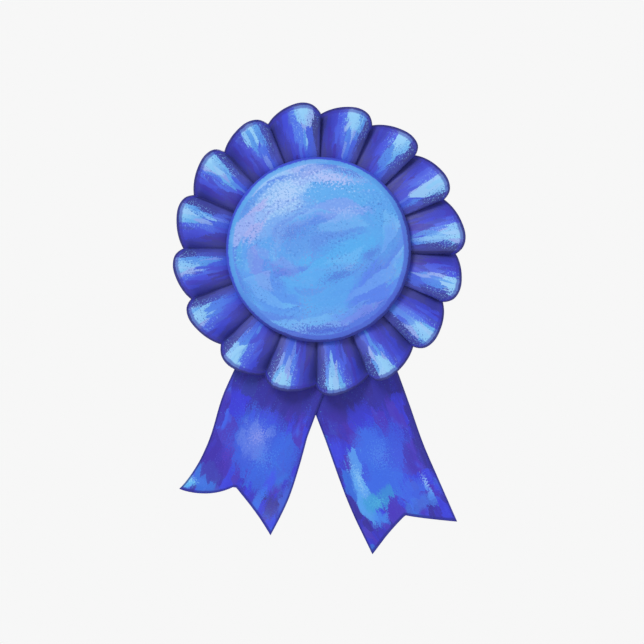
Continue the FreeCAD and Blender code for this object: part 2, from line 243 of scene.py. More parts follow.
# ---------------- material helpers
class Shader:
    """A node material in the making, with one Principled shader."""

    def __init__(self, name, **settings):
        self.material = bpy.data.materials.new(name)
        self.material.use_nodes = True
        self.nodes = self.material.node_tree.nodes
        self.links = self.material.node_tree.links
        self.nodes.clear()
        self.output = self.nodes.new("ShaderNodeOutputMaterial")
        self.shader = self.nodes.new("ShaderNodeBsdfPrincipled")
        self.links.new(self.shader.outputs[0], self.output.inputs[0])
        for socket, value in settings.items():
            self.shader.inputs[socket.replace("_", " ")].default_value = value

    def node(self, kind, inputs=None, **settings):
        """A new node. Inputs are sockets to link, or values to set."""
        made = self.nodes.new("ShaderNode" + kind)
        for key, value in settings.items():
            setattr(made, key, value)
        for key, value in (inputs or {}).items():
            self.put(made.inputs[key], value)
        return made

    def put(self, socket, value):
        if isinstance(value, bpy.types.NodeSocket):
            self.links.new(value, socket)
        else:
            socket.default_value = value

    def math(self, operation, a, b=0.0, clamp=False):
        made = self.node("Math", operation=operation, use_clamp=clamp)
        self.put(made.inputs[0], a)
        self.put(made.inputs[1], b)
        return made.outputs[0]

    def uv(self, name):
        return self.node("UVMap", uv_map=name).outputs[0]

    def place(self):
        """The place in the rosette's frame, in metres."""
        return self.node("TexCoord").outputs["Object"]

    def split(self, vector):
        return self.node("SeparateXYZ", {0: vector}).outputs

    def join(self, x, y, z=0.0):
        return self.node("CombineXYZ", {0: x, 1: y, 2: z}).outputs[0]

    def scaled(self, vector, scale, shift=(0, 0, 0)):
        return self.node("Mapping", {"Vector": vector, "Scale": scale, "Location": shift}).outputs[0]

    def noise(self, vector, scale=1.0, detail=3.0, roughness=0.55, distortion=0.0):
        inputs = {"Vector": vector, "Scale": scale, "Detail": detail}
        inputs.update({"Roughness": roughness, "Distortion": distortion})
        return self.node("TexNoise", inputs, noise_dimensions="3D").outputs["Fac"]

    def marks(self, x, y, seed=0.0):
        """Brush marks on a plane: three random numbers that stay the same all over a mark, and the place
        of the mark's middle."""
        place = self.join(self.add(x, seed), self.add(y, seed))
        made = self.node("TexVoronoi", {"Vector": place, "Scale": 1.0}, voronoi_dimensions="2D")
        chances = self.node("SeparateColor", {0: made.outputs["Color"]}).outputs
        middle = self.split(made.outputs["Position"])
        shift = [self.math("SUBTRACT", middle[axis], seed) for axis in (0, 1)]
        return chances[0], chances[1], chances[2], shift[0], shift[1]

    def middles(self, pick, wide, wide_counts, narrow, narrow_counts):
        """Where the picked mark's middle is, across and along, from the wide and the narrow marks."""
        return [
            self.lerp(
                pick,
                self.math("DIVIDE", wide[3 + axis], wide_counts[axis]),
                self.math("DIVIDE", narrow[3 + axis], narrow_counts[axis]),
            )
            for axis in (0, 1)
        ]

    def lerp(self, share, a, b):
        made = self.node("Mix", data_type="FLOAT")
        for index, value in ((0, share), (2, a), (3, b)):
            self.put(made.inputs[index], value)
        return made.outputs[0]

    def patches(self, base, place, patches, ragged, outside=1.2, inside=0.7):
        """Lays ragged ellipses of paint over a base colour. Each is its middle, half sizes, lean in
        degrees, colour and strength, on the place's plane. It fades out from inside to outside, in
        shares of its half sizes."""
        for (x, y), (half_x, half_y), lean, code, strength in patches:
            inputs = {"Vector": place, "Location": (x, y, 0), "Scale": (half_x, half_y, 1)}
            inputs["Rotation"] = (0, 0, math.radians(lean))
            local = self.node("Mapping", inputs, vector_type="TEXTURE").outputs[0]
            far = self.node("VectorMath", {0: local}, operation="LENGTH").outputs["Value"]
            cover = self.span(self.add(far, ragged), outside, inside, 0.0, strength)
            base = self.blend(cover, base, code)
        return base

    def spread(self, value, amount):
        """A 0 to 1 value as an offset of up to that amount to either side."""
        return self.math("MULTIPLY", self.math("SUBTRACT", value, 0.5), 2 * amount)

    def add(self, *values):
        total = values[0]
        for value in values[1:]:
            total = self.math("ADD", total, value)
        return total

    def times(self, *values):
        total = values[0]
        for value in values[1:]:
            total = self.math("MULTIPLY", total, value)
        return total

    def span(self, value, low, high, to_low=0.0, to_high=1.0):
        """The value's smoothed place between low and high, clamped."""
        inputs = {"Value": value, "From Min": low, "From Max": high, "To Min": to_low, "To Max": to_high}
        return self.node("MapRange", inputs, interpolation_type="SMOOTHSTEP").outputs[0]

    def ramp(self, value, stops, interpolation="LINEAR"):
        """A colour ramp from (place, hex colour) stops."""
        made = self.node("ValToRGB", {0: value})
        made.color_ramp.interpolation = interpolation
        elements = made.color_ramp.elements
        while len(elements) < len(stops):
            elements.new(0.5)
        for element, (place, code) in zip(elements, stops):
            element.position = place
            element.color = colour(code)
        return made.outputs[0]

    def blend(self, share, a, b):
        made = self.node("Mix", data_type="RGBA", blend_type="MIX")
        self.put(made.inputs[0], share)
        self.put(made.inputs[6], colour(a) if isinstance(a, str) else a)
        self.put(made.inputs[7], colour(b) if isinstance(b, str) else b)
        return made.outputs[2]

    def bump(self, height, strength, distance, normal=None):
        made = self.node("Bump", {"Height": height, "Strength": strength, "Distance": distance})
        if normal is not None:
            self.links.new(normal, made.inputs["Normal"])
        return made.outputs[0]

    def finish(self, base=None, roughness=None, normal=None):
        for socket, value in (("Base Color", base), ("Roughness", roughness), ("Normal", normal)):
            if value is not None:
                self.put(self.shader.inputs[socket], value)
        return self.material


THREADS_PER_METRE = 2400
WARP_FLOATS_PER_METRE = 1100
# Each satin's sheen and gloss
RIBBON_TINT = (0.45, 0.6, 1.0, 1.0)
COVER_TINT = (0.5, 0.7, 1.0, 1.0)
RIBBON_SHINE = dict(Sheen_Weight=0.1, Sheen_Roughness=0.4, Sheen_Tint=RIBBON_TINT, Specular_IOR_Level=0.35)
BACK_SHINE = dict(Sheen_Weight=0.08, Sheen_Roughness=0.6, Sheen_Tint=RIBBON_TINT, Specular_IOR_Level=0.25)
COVER_SHINE = dict(Sheen_Weight=0.08, Sheen_Roughness=0.5, Sheen_Tint=COVER_TINT, Specular_IOR_Level=0.3)


def weave_height(s, metres, threads_across, threads_along):
    """Height of a satin weave: long floats over the warp, on metric UVs."""
    x, y, _ = s.split(metres)
    warp = s.math("SINE", s.times(x, 2 * math.pi * threads_across))
    weft = s.math("SINE", s.times(y, 2 * math.pi * threads_along))
    return s.add(s.times(warp, 0.35), s.times(weft, 0.65))


def ribbon_face(s, base, metres, bristle):
    """The ribbon's shiny face: brush ridges and a fine weave over that base colour."""
    weave = weave_height(s, metres, THREADS_PER_METRE, WARP_FLOATS_PER_METRE)
    normal = s.bump(bristle, 0.15, 0.4 * MM)
    normal = s.bump(weave, 0.25, 0.04 * MM, normal)
    return s.finish(base, s.span(bristle, 0.3, 0.7, 0.42, 0.56), normal)


# ---------------- materials
# How many brush marks fit across and along: in a pleat's width and its visible length, and in half a
# tail's width and a mm of its length
PLEAT_WIDE_MARKS = (6.0, 1.7)
PLEAT_NARROW_MARKS = (15.0, 3.4)
TAIL_WIDE_MARKS = (3.0, 0.10)
TAIL_NARROW_MARKS = (8.0, 0.17)


def pleat_satin():
    """Ribbon satin in the ring, painted in strokes: indigo painted shade in the crevices and by the
    button, a sky-blue painted highlight along the crests.
    """
    s = Shader("pleat_satin", **RIBBON_SHINE)
    along, reach, _ = s.split(s.uv("Pleat"))
    metres = s.uv("Ribbon")
    share = s.math("FRACT", along)
    pleat = s.math("FLOOR", along)
    habit = s.node("TexWhiteNoise", {"W": pleat}, noise_dimensions="1D").outputs["Color"]
    habits = s.node("SeparateColor", {0: habit}).outputs
    dry = s.noise(s.scaled(metres, (2000, 1500, 1)), detail=2.0, roughness=0.7)
    bristle = s.noise(s.scaled(metres, (1100, 150, 1)), detail=3.0, roughness=0.65)
    # Broad and narrow brush marks run down the pleat. A mark takes its tone from its own middle
    wide = s.marks(
        s.add(s.times(along, PLEAT_WIDE_MARKS[0]), s.spread(bristle, 0.5), s.spread(dry, 0.25)),
        s.add(s.times(reach, PLEAT_WIDE_MARKS[1]), s.spread(dry, 0.12), s.spread(bristle, 0.2)),
    )
    narrow = s.marks(
        s.add(s.times(along, PLEAT_NARROW_MARKS[0]), s.spread(bristle, 0.7), s.spread(dry, 0.4)),
        s.add(s.times(reach, PLEAT_NARROW_MARKS[1]), s.spread(dry, 0.2), s.spread(bristle, 0.3)),
        7.0,
    )
    pick = s.span(narrow[0], 0.5, 0.52)
    mark_along, mark_reach = s.middles(pick, wide, PLEAT_WIDE_MARKS, narrow, PLEAT_NARROW_MARKS)
    mark_share = s.math("SUBTRACT", mark_along, pleat)
    chance = s.lerp(pick, wide[1], narrow[1])
    place = s.add(s.times(share, 0.32), s.times(mark_share, 0.68), s.spread(dry, 0.03))
    level = s.add(s.times(reach, 0.35), s.times(mark_reach, 0.65), s.spread(dry, 0.1))
    tone = s.add(place, s.spread(chance, 0.05))
    # Tones across a pleat: painted shade, dark indigo, in the crevice at each side, royal blue on the face
    outer = s.ramp(
        tone,
        [
            (0.00, "#3c4094"), (0.10, "#3d40aa"), (0.20, "#3d42c2"), (0.30, "#444fdd"),
            (0.42, "#4a66e6"), (0.55, "#507cec"), (0.72, "#4a6ee0"), (0.80, "#3e4fbe"),
            (0.88, "#3a40a0"), (1.00, "#3a3f8c"),
        ],
    )
    # Nearer the button the tones are darker: painted shade where the pleats run in under its rim
    inner = s.ramp(
        tone,
        [
            (0.00, "#42459a"), (0.20, "#4041a2"), (0.32, "#3f3fb0"), (0.42, "#454bcc"),
            (0.54, "#4855dc"), (0.72, "#4c68de"), (0.83, "#4650bc"), (1.00, "#41459a"),
        ],
    )
    base = s.blend(s.span(level, 0.15, 0.45), inner, outer)
    # Violet and royal strokes of painted shade on the pleat's long side, in the shadow of the fold before
    painted_shade_strokes = s.ramp(chance, [(0.0, "#4233b4"), (0.35, "#3b48de"), (0.7, "#3835a4")], "CONSTANT")
    in_shade = s.times(s.span(place, 0.12, 0.2), s.span(place, 0.48, 0.38), s.span(narrow[2], 0.45, 0.55))
    base = s.blend(s.times(in_shade, 0.5), base, painted_shade_strokes)
    # A painted highlight on the crest, which widens and pales towards the free edge
    middle = s.add(0.655, s.spread(habits[0], 0.035))
    half_width = s.add(0.08, s.times(s.math("MAXIMUM", reach, 0.0), 0.115))
    far = s.math("DIVIDE", s.math("ABSOLUTE", s.math("SUBTRACT", place, middle)), half_width)
    far = s.add(far, s.spread(bristle, 0.3), s.spread(dry, 0.4))
    brightness = s.add(level, 0.02, s.spread(chance, 0.34), s.spread(habits[1], 0.12))
    light = s.ramp(
        brightness,
        [
            (0.05, "#4462e0"), (0.20, "#4f7fea"), (0.42, "#5494e9"), (0.62, "#68b2f1"),
            (0.78, "#80c1f6"), (0.95, "#8dc8f8"),
        ],
    )
    # Some strokes of the painted highlight are lilac
    lilac = s.ramp(brightness, [(0.2, "#5973e7"), (0.6, "#7e98eb"), (0.85, "#97aaef")])
    light = s.blend(s.times(s.span(chance, 0.72, 0.74), 0.85), light, lilac)
    base = s.blend(s.span(far, 1.02, 0.94, 0.0, 0.95), base, light)
    # The painted highlight's palest core, towards the free edge
    highlight_core = s.times(s.span(far, 0.62, 0.42), s.span(s.add(level, s.spread(wide[2], 0.3)), 0.42, 0.6))
    base = s.blend(s.times(highlight_core, 0.7), base, "#96d0f8")
    # Specks where the brush ran dry at the painted highlight's edges: dark ones inside it, pale ones
    # beside it
    in_light = s.times(s.span(far, 1.2, 1.0), s.span(far, 0.35, 0.6))
    beside_light = s.times(s.span(far, 1.9, 1.3), s.span(far, 0.8, 1.0), s.span(level, 0.2, 0.45))
    base = s.blend(s.times(s.span(dry, 0.60, 0.62), in_light, 0.85), base, "#3644b4")
    base = s.blend(s.times(s.span(dry, 0.41, 0.39), beside_light, 0.8), base, "#86bcf4")
    # The outline: painted shade, dark, where the fold tucks in; royal and then indigo at the free edge
    base = s.blend(s.span(s.add(share, s.spread(bristle, 0.02)), 0.97, 0.985, 0.0, 0.85), base, "#24246a")
    edge = s.add(s.times(s.split(metres)[1], 1 / RIBBON_WIDTH), s.spread(bristle, 0.015))
    base = s.blend(s.span(edge, 0.93, 0.95, 0.0, 0.7), base, "#3634b2")
    base = s.blend(s.span(edge, 0.968, 0.978, 0.0, 0.9), base, "#2b2a80")
    return ribbon_face(s, base, metres, bristle)


# Paint on the button, in shares of its radius from its middle: middle, half sizes, lean, colour, strength
# The pale patches towards the top and upper left are painted highlight, the darker periwinkle ones towards
# the lower right and bottom painted shade
COVER_PATCHES = [
    ((0.55, 0.30), (0.36, 0.40), 0, "#58abef", 0.6),
    ((0.05, 0.12), (0.50, 0.20), 25, "#5d99e9", 0.75),
    ((0.12, 0.58), (0.48, 0.11), -6, "#5fadef", 0.7),
    ((-0.45, 0.35), (0.42, 0.22), 42, "#7dadf1", 0.7),
    ((-0.38, 0.62), (0.44, 0.19), 38, "#96c2f4", 0.9),
    ((0.10, 0.78), (0.46, 0.12), -10, "#9eb4f2", 0.85),
    ((-0.69, 0.30), (0.27, 0.10), 64, "#a6aded", 0.85),
    ((0.22, 0.40), (0.34, 0.07), 4, "#7da0ef", 0.75),
    ((-0.44, -0.18), (0.30, 0.06), -28, "#749aed", 0.7),
    ((-0.12, -0.29), (0.26, 0.05), -4, "#7aa0ef", 0.6),
    ((0.18, -0.12), (0.46, 0.16), 24, "#52adf1", 0.8),
    ((-0.05, -0.50), (0.52, 0.20), 4, "#56a9f1", 0.65),
    ((-0.48, -0.52), (0.36, 0.12), -42, "#5891ed", 0.7),
    ((0.02, -0.72), (0.50, 0.09), 2, "#63a9f1", 0.5),
    ((0.60, -0.38), (0.50, 0.16), 50, "#5782ed", 0.95),
    ((0.84, -0.02), (0.36, 0.10), 84, "#598ded", 0.8),
    ((0.56, -0.70), (0.42, 0.11), 38, "#506ee0", 0.9),
    ((0.02, -0.92), (0.52, 0.08), 3, "#5073e2", 0.85),
    ((-0.90, 0.05), (0.34, 0.08), 88, "#54a7e6", 0.6),
]

# Dry-brush flecks on the button, given in the same way; the pale ones near the top are part of the painted
# highlight
COVER_FLECKS = [
    ((0.30, 0.84), (0.62, 0.14), -16, "#4f6fd6", 0.75),
    ((-0.30, 0.18), (0.40, 0.20), 20, "#5377d8", 0.7),
    ((0.22, -0.28), (0.42, 0.12), 22, "#4c74d8", 0.8),
    ((0.58, -0.04), (0.24, 0.10), 30, "#5077da", 0.7),
    ((-0.42, -0.22), (0.42, 0.10), -28, "#6a7fe0", 0.7),
    ((0.00, -0.86), (0.72, 0.14), 2, "#4560d0", 0.8),
    ((-0.80, -0.42), (0.16, 0.42), 24, "#4c78dc", 0.6),
    ((-0.78, 0.46), (0.14, 0.40), -34, "#4f86de", 0.6),
    ((-0.36, 0.60), (0.50, 0.30), 38, "#b8d2fa", 0.6),
    ((0.12, 0.76), (0.50, 0.16), -10, "#b9c2f6", 0.65),
    ((0.30, 0.42), (0.34, 0.10), 4, "#9db6f4", 0.6),
]


def cover_satin():
    """The button's cover: sky blue, worked over in pale, lilac and periwinkle strokes, with a painted
    highlight to the upper left and painted shade to the lower right.
    """
    s = Shader("cover_satin", **COVER_SHINE)
    x, _, z = s.split(s.place())
    px = s.math("DIVIDE", s.math("SUBTRACT", x, CENTRE.x), BUTTON_R)
    pz = s.math("DIVIDE", s.math("SUBTRACT", z, CENTRE.z), BUTTON_R)
    flat_place = s.join(px, pz)
    radius = s.math("SQRT", s.add(s.times(px, px), s.times(pz, pz)))
    dry = s.noise(flat_place, scale=38.0, detail=2.0, roughness=0.8)
    broad = s.noise(flat_place, scale=1.6, detail=2.0)
    patch = s.noise(s.join(px, pz, 6.0), scale=3.0, detail=3.0)
    # Strokes follow flat ellipses that lean a little
    lean = math.radians(22)
    ex = s.add(s.times(px, math.cos(lean)), s.times(pz, math.sin(lean)), s.spread(broad, 0.12))
    squash = 1.5
    rise, fall = squash * math.cos(lean), -squash * math.sin(lean)
    ez = s.add(s.times(pz, rise), s.times(px, fall), s.spread(patch, 0.15))
    ring = s.math("SQRT", s.add(s.times(ex, ex), s.times(ez, ez)))
    turn = s.math("ARCTAN2", ez, ex)
    round_marks = s.marks(
        s.add(s.times(ring, 7.0), s.spread(dry, 0.5)),
        s.add(s.times(turn, 1.3), s.spread(dry, 0.2)),
        3.0,
    )
    flat_marks = s.marks(
        s.add(s.times(ex, 1.7), s.spread(dry, 0.2)),
        s.add(s.times(ez, 5.0), s.times(ex, ex, 1.4), s.spread(dry, 0.5)),
        5.0,
    )
    outside = s.span(s.add(ring, s.spread(dry, 0.1)), 0.5, 0.62)
    mark = s.lerp(outside, flat_marks[0], round_marks[0])
    second = s.lerp(outside, flat_marks[1], round_marks[1])
    hair = s.noise(s.join(s.times(ring, 34.0), s.times(turn, 2.2)), detail=3.0, roughness=0.6)
    tone = s.add(s.times(mark, 0.3), s.times(patch, 0.4), s.times(hair, 0.3))
    base = s.ramp(
        tone,
        [(0.34, "#598ae9"), (0.44, "#5c98eb"), (0.52, "#5ba2ee"), (0.60, "#61a8ef"), (0.70, "#78adf0")],
    )
    # Each mark takes its paint from a little way off
    sampled = s.join(
        s.add(px, s.spread(mark, 0.12), s.spread(broad, 0.1)),
        s.add(pz, s.spread(second, 0.09), s.spread(patch, 0.1)),
    )
    mottle = s.noise(flat_place, scale=13.0, detail=4.0, roughness=0.7)
    ragged = s.add(s.spread(hair, 0.2), s.spread(dry, 0.6), s.spread(mottle, 0.4))
    base = s.patches(base, sampled, COVER_PATCHES, ragged)
    # Single strokes on top, lighter and darker
    base = s.blend(s.span(mark, 0.80, 0.82, 0.0, 0.3), base, "#7fc2fa")
    base = s.blend(s.span(mark, 0.20, 0.18, 0.0, 0.3), base, "#5b84e2")
    base = s.blend(s.span(second, 0.86, 0.88, 0.0, 0.35), base, "#8f9eee")
    flecks = s.add(0.68, s.spread(dry, 1.6))
    base = s.patches(base, flat_place, COVER_FLECKS, flecks, 1.0, 0.9)
    # Specks of dry brush, thicker in some places
    thick = s.span(s.noise(s.join(px, pz, 5.0), scale=3.4, detail=2.0), 0.45, 0.6)
    base = s.blend(s.times(s.span(dry, 0.58, 0.61), s.add(0.12, s.times(thick, 0.5))), base, "#426ac6")
    # The pale specks gather to the upper left, as painted highlight
    upper_left_highlight = s.span(s.add(s.times(pz, 0.8), s.times(px, -0.5)), -0.3, 0.6)
    base = s.blend(s.times(s.span(dry, 0.40, 0.37), s.add(0.1, s.times(upper_left_highlight, 0.3))), base, "#a9d0f8")
    base = s.blend(s.times(s.span(patch, 0.56, 0.62), s.span(dry, 0.52, 0.6), 0.4), base, "#8693e1")
    # Rolled rim: a band of painted highlight to the upper left turning to painted shade to the lower
    # right, then a dark outline where it meets the pleats, also painted darker to the lower right
    rim = s.add(radius, s.spread(patch, 0.02), s.spread(dry, 0.012))
    # Painted light and shade by side: lighter to the upper left, darker to the lower right
    side = s.span(s.add(s.times(px, 0.6), s.times(pz, -0.8)), -0.5, 0.6)
    band = s.blend(side, "#58a6ec", "#485ed4")
    base = s.blend(s.span(rim, 0.915, 0.93, 0.0, 0.75), base, band)
    line = s.blend(side, "#4450d8", "#373c9c")
    base = s.blend(s.span(rim, 0.966, 0.976, 0.0, 0.95), base, line)
    weave = weave_height(s, s.join(x, z), THREADS_PER_METRE, WARP_FLOATS_PER_METRE)
    normal = s.bump(hair, 0.12, 0.3 * MM)
    normal = s.bump(weave, 0.2, 0.04 * MM, normal)
    return s.finish(base, s.span(hair, 0.3, 0.7, 0.5, 0.62), normal)


# Paint on each tail, painted shadow and painted highlights among it: middle as (share across, mm along),
# half sizes, lean, colour and strength
TAIL_PATCHES = {
    "left": [
        # Painted shadow where the tail comes out under the pleats
        ((0.1, 60.0), (1.3, 11.0), 0, "#312c9e", 0.85),
        # The lighter blue, sky and cyan patches are painted highlights; the violet and royal ones are the
        # ribbon's colour
        ((-0.67, 71.0), (0.24, 6.0), 0, "#373ade", 0.8),
        ((-0.92, 82.0), (0.12, 15.0), 0, "#3d2baa", 0.7),
        ((0.0, 85.0), (0.72, 14.0), 0, "#3761e3", 0.85),
        ((0.62, 87.0), (0.24, 13.0), 0, "#376ee8", 0.6),
        ((-0.04, 82.0), (0.34, 8.5), 0, "#5f7ee8", 0.85),
        ((0.3, 96.0), (0.32, 6.0), 0, "#3768e6", 0.7),
        ((-0.66, 97.0), (0.32, 8.0), 0, "#3c29ae", 0.8),
        ((0.55, 99.0), (0.12, 7.0), 0, "#4150ec", 0.75),
        ((0.95, 99.0), (0.1, 8.0), 0, "#416ae6", 0.7),
        ((0.74, 107.0), (0.15, 5.0), 0, "#373693", 0.75),
        ((0.46, 106.0), (0.07, 6.0), 0, "#3777ec", 0.75),
        ((-0.98, 108.5), (0.17, 3.2), 0, "#58b4f6", 0.95),
        ((-0.72, 107.5), (0.12, 2.0), 0, "#4177e8", 0.6),
    ],
    "right": [
        # Painted shadow where the tail comes out under the pleats
        ((-0.1, 60.0), (1.3, 11.0), 0, "#302b99", 0.85),
        # The lighter blue, sky and cyan patches are painted highlights; the violet and royal ones are the
        # ribbon's colour
        ((-0.68, 71.0), (0.3, 8.0), 0, "#3829a6", 0.7),
        ((-0.05, 71.0), (0.3, 6.0), 0, "#373cde", 0.6),
        ((0.0, 91.0), (0.68, 17.0), 0, "#375be4", 0.85),
        ((-0.2, 83.0), (0.34, 9.0), 0, "#3c6eea", 0.8),
        ((-0.1, 98.0), (0.46, 8.0), 0, "#376ce8", 0.8),
        ((-0.55, 88.0), (0.13, 8.0), 0, "#569af0", 0.9),
        ((-0.62, 99.0), (0.15, 9.0), 0, "#5ca6f4", 0.9),
        ((-0.64, 108.0), (0.12, 6.0), 0, "#51a0f2", 0.85),
        ((-0.48, 105.5), (0.17, 3.6), 0, "#3a9cdc", 0.9),
        ((-0.1, 104.5), (0.22, 3.0), 0, "#378dd8", 0.85),
        ((-0.5, 112.5), (0.12, 4.5), 0, "#438af0", 0.8),
        ((0.4, 107.0), (0.34, 5.0), 0, "#3e6cea", 0.7),
        ((0.72, 106.5), (0.07, 6.0), 0, "#5f9cf6", 0.95),
        ((0.61, 94.0), (0.13, 6.0), 0, "#3e2db1", 0.75),
        ((0.95, 86.0), (0.09, 24.0), 0, "#2a2591", 0.85),
        ((0.45, 113.0), (0.42, 2.4), 0, "#417bea", 0.6),
    ],
}

# Dry-brush flecks on each tail, given in the same way; the pale ones lie in the painted highlights
TAIL_FLECKS = {
    "left": [
        ((-0.02, 81.0), (0.42, 9.5), 0, "#8795ee", 0.8),
        ((0.25, 88.0), (0.5, 12.0), 0, "#4d86ee", 0.6),
        ((-0.95, 107.5), (0.3, 4.0), 0, "#86cdf6", 0.8),
        ((0.6, 103.0), (0.25, 8.0), 0, "#2b2c8c", 0.6),
        ((-0.5, 92.0), (0.4, 12.0), 0, "#5a37c4", 0.6),
    ],
    "right": [
        ((-0.6, 95.0), (0.2, 16.0), 0, "#86c2f6", 0.8),
        ((-0.4, 106.0), (0.4, 6.0), 0, "#4db4e2", 0.7),
        ((0.72, 105.0), (0.14, 8.0), 0, "#8fbcf8", 0.85),
        ((0.0, 88.0), (0.6, 14.0), 0, "#4f86ee", 0.6),
        ((-0.45, 73.0), (0.5, 8.0), 0, "#4a2fb6", 0.6),
    ],
}


def tail_satin(side, seed):
    """Tail satin: royal blue with lengthwise strokes, painted highlights in patches and a painted shadow
    under the pleats.
    """
    s = Shader(f"{side}_tail_satin", **RIBBON_SHINE)
    across, share, _ = s.split(s.uv("Tail"))
    metres = s.uv("Ribbon")
    along = s.times(s.split(metres)[1], 1 / MM)
    dry = s.noise(s.scaled(metres, (1900, 1400, 1)), detail=2.0, roughness=0.7)
    bristle = s.noise(s.scaled(metres, (900, 130, 1), (seed, 0, 0)), detail=3.0, roughness=0.65)
    broad = s.noise(s.join(across, s.times(along, 0.03), seed + 5.0), scale=1.5, detail=3.0)
    # Broad and narrow brush marks run down the ribbon
    drift = s.spread(broad, 0.8)
    wide = s.marks(
        s.add(s.times(across, TAIL_WIDE_MARKS[0]), s.spread(bristle, 0.4), s.spread(dry, 0.2), drift),
        s.add(s.times(along, TAIL_WIDE_MARKS[1]), s.spread(dry, 0.12), s.spread(bristle, 0.25), drift),
        seed,
    )
    narrow = s.marks(
        s.add(s.times(across, TAIL_NARROW_MARKS[0]), s.spread(bristle, 0.6), s.spread(dry, 0.35)),
        s.add(s.times(along, TAIL_NARROW_MARKS[1]), s.spread(dry, 0.2), s.spread(bristle, 0.35)),
        seed + 7.0,
    )
    pick = s.span(narrow[0], 0.5, 0.52)
    chance = s.lerp(pick, wide[0], narrow[1])
    tone = s.add(s.times(chance, 0.4), s.times(broad, 0.35), s.times(bristle, 0.25))
    base = s.ramp(
        tone,
        [(0.30, "#352d9e"), (0.40, "#3833ba"), (0.50, "#383bd8"), (0.60, "#3b46e2"), (0.72, "#3d60e8")],
    )
    violet = s.times(s.span(chance, 0.66, 0.68), s.span(broad, 0.6, 0.5), 0.75)
    base = s.blend(violet, base, "#492cb2")
    teal = s.times(s.span(wide[2], 0.84, 0.86), s.span(broad, 0.46, 0.54), 0.6)
    base = s.blend(teal, base, "#2e78d8")
    # Each mark takes its paint from its own middle, or near it
    mark_across, mark_along = s.middles(pick, wide, TAIL_WIDE_MARKS, narrow, TAIL_NARROW_MARKS)
    sampled = s.join(
        s.add(s.times(across, 0.55), s.times(mark_across, 0.45)),
        s.add(s.times(along, 0.65), s.times(mark_along, 0.35)),
    )
    ragged = s.add(s.spread(bristle, 0.3), s.spread(dry, 0.5), s.spread(chance, 0.15))
    base = s.patches(base, sampled, TAIL_PATCHES[side], ragged)
    flecks = s.add(0.75, s.spread(dry, 1.5))
    base = s.patches(base, s.join(across, along), TAIL_FLECKS[side], flecks, 1.0, 0.9)
    # Dry-brush specks
    base = s.blend(s.span(dry, 0.66, 0.7, 0.0, 0.4), base, "#2a2c99")
    base = s.blend(s.times(s.span(dry, 0.35, 0.31), s.span(broad, 0.42, 0.58), 0.55), base, "#5a9ced")
    # Selvedges and the cut end are dark
    base = s.blend(s.span(s.math("ABSOLUTE", across), 0.945, 0.975, 0.0, 0.75), base, "#242387")
    base = s.blend(s.span(share, 0.984, 0.992, 0.0, 0.85), base, "#262795")
    return ribbon_face(s, base, metres, bristle)


def satin_back(name, code, shade_code):
    """The dull reverse of the ribbon, where the weft shows."""
    s = Shader(name, **BACK_SHINE)
    metres = s.uv("Ribbon")
    slub = s.noise(s.scaled(metres, (250, 1800, 1)), detail=3.0, roughness=0.6)
    uneven = s.noise(s.scaled(metres, (60, 60, 1)), detail=3.0)
    bristle = s.noise(s.scaled(metres, (900, 70, 1)), detail=3.0, roughness=0.65)
    mark, second, _, _, _ = s.marks(
        s.add(s.times(s.split(metres)[0], 260.0), s.spread(bristle, 0.6)),
        s.add(s.times(s.split(metres)[1], 90.0), s.spread(bristle, 0.4), s.spread(uneven, 0.8)),
    )
    tone = s.add(s.times(slub, 0.25), s.times(uneven, 0.3), s.times(bristle, 0.25), s.times(mark, 0.2))
    base = s.blend(s.span(tone, 0.3, 0.7), shade_code, code)
    base = s.blend(s.span(second, 0.8, 0.83, 0.0, 0.2), base, "#4130a8")
    weave = weave_height(s, metres, WARP_FLOATS_PER_METRE, THREADS_PER_METRE)
    normal = s.bump(weave, 0.35, 0.05 * MM, s.bump(slub, 0.2, 0.2 * MM))
    return s.finish(base, s.span(slub, 0.3, 0.7, 0.66, 0.8), normal)


def metal(name, code, roughness_low, roughness_high, scratch_scale):
    """Plated steel with fine scratches and faint dull patches."""
    s = Shader(name, Metallic=1.0)
    place = s.place()
    scratches = s.noise(s.scaled(place, scratch_scale), detail=3.0, roughness=0.6)
    dull = s.noise(place, scale=450.0, detail=2.0)
    base = s.blend(s.span(dull, 0.4, 0.75, 0.0, 0.18), code, "#a2a4a8")
    normal = s.bump(scratches, 0.08, 0.01 * MM)
    return s.finish(base, s.span(dull, 0.3, 0.75, roughness_low, roughness_high), normal)


def card(name, code, shade_code):
    """Pressed white card: fibres, a slightly mottled tone."""
    s = Shader(name, Specular_IOR_Level=0.3)
    place = s.place()
    fibres = s.noise(s.scaled(place, (900, 900, 350)), detail=4.0, distortion=1.2)
    mottle = s.noise(place, scale=90.0, detail=3.0)
    base = s.blend(s.span(mottle, 0.35, 0.7, 0.0, 0.5), code, shade_code)
    base = s.blend(s.span(fibres, 0.6, 0.72, 0.0, 0.25), base, "#b9b2a4")
    return s.finish(base, s.span(fibres, 0.3, 0.7, 0.78, 0.9), s.bump(fibres, 0.3, 0.05 * MM))


def foam(name, code):
    """Closed-cell foam with open pores on its cut sides."""
    s = Shader(name)
    pores = s.node("TexVoronoi", {"Vector": s.place(), "Scale": 2600.0}).outputs["Distance"]
    # The pores are painted darker: painted shade inside them
    base = s.blend(s.span(pores, 0.35, 0.7), "#b8b8b2", code)
    return s.finish(base, s.span(pores, 0.2, 0.7, 0.95, 0.8), s.bump(pores, 0.5, 0.08 * MM))


def moulded(name, code):
    """Moulded plastic with a fine spark texture."""
    s = Shader(name)
    spark = s.noise(s.place(), scale=2400.0, detail=2.0)
    mottle = s.noise(s.place(), scale=60.0, detail=2.0)
    base = s.blend(s.span(mottle, 0.3, 0.7, 0.0, 0.3), code, "#c9ccd0")
    return s.finish(base, s.span(spark, 0.3, 0.7, 0.4, 0.55), s.bump(spark, 0.2, 0.02 * MM))


